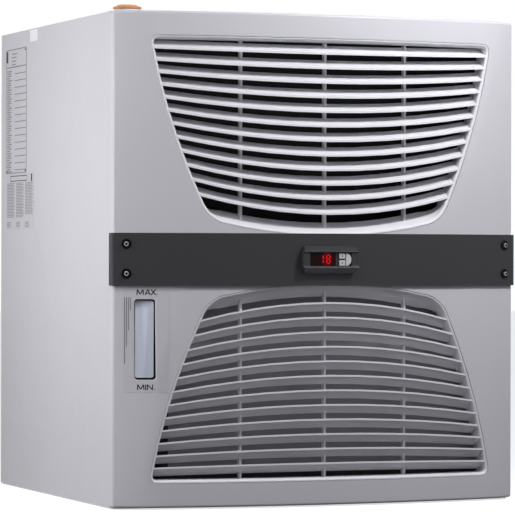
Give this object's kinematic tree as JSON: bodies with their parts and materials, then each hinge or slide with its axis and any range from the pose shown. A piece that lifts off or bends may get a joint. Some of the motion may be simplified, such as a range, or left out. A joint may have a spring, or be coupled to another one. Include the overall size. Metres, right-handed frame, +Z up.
{
  "type": "compact water chiller",
  "caption": "Free-standing water chiller with a bowed, louvred front, a dark control band, a level slot and a filler cap on top.",
  "frame": {"origin": "on the floor, at the middle of the base pan's underside", "axes": "+Z up, the bowed front faces -Y, +X to the right seen from the front"},
  "size_m": [0.5754, 0.5845, 0.653],
  "materials": {
    "panel_paint": "satin light grey powder coat",
    "hood_plastic": "fine-textured light grey",
    "grille_plastic": "satin light grey",
    "charcoal_paint": "fine-textured charcoal",
    "black_sheet": "matt black",
    "galvanised": "zinc coated",
    "coil_fins": "black coated fins",
    "case_plastic": "satin charcoal",
    "display_window": "dark red window",
    "key_silver": "silver",
    "tank_plastic": "translucent white",
    "window_plastic": "translucent bluish white",
    "white_plastic": "white",
    "orange_plastic": "moulded orange",
    "port_brass": "machined",
    "gland_plastic": "black"
  },
  "bodies": {
    "root": {"base_pan": "galvanised", "left_side_panel": "panel_paint", "right_side_panel": "panel_paint", "top_panel": "panel_paint", "rear_panel": "panel_paint", "front_bulkhead": "black_sheet", "front_left_post": "galvanised", "front_right_post": "galvanised", "upper_hood": "hood_plastic", "lower_hood": "hood_plastic", "upper_grille": "grille_plastic", "lower_grille": "grille_plastic", "control_band": "charcoal_paint", "controller_case": "case_plastic", "controller_display": "display_window", "controller_up_key": "key_silver", "controller_down_key": "key_silver", "controller_set_key": "key_silver", "condenser_frame": "black_sheet", "condenser_core": "coil_fins", "water_tank": "tank_plastic", "level_window": "window_plastic", "filler_tube": "white_plastic", "filler_neck": "white_plastic", "filler_cap": "orange_plastic", "water_outlet_port": "port_brass", "water_inlet_port": "port_brass", "drain_port": "port_brass", "cable_gland": "gland_plastic"}
  },
  "joints": []
}
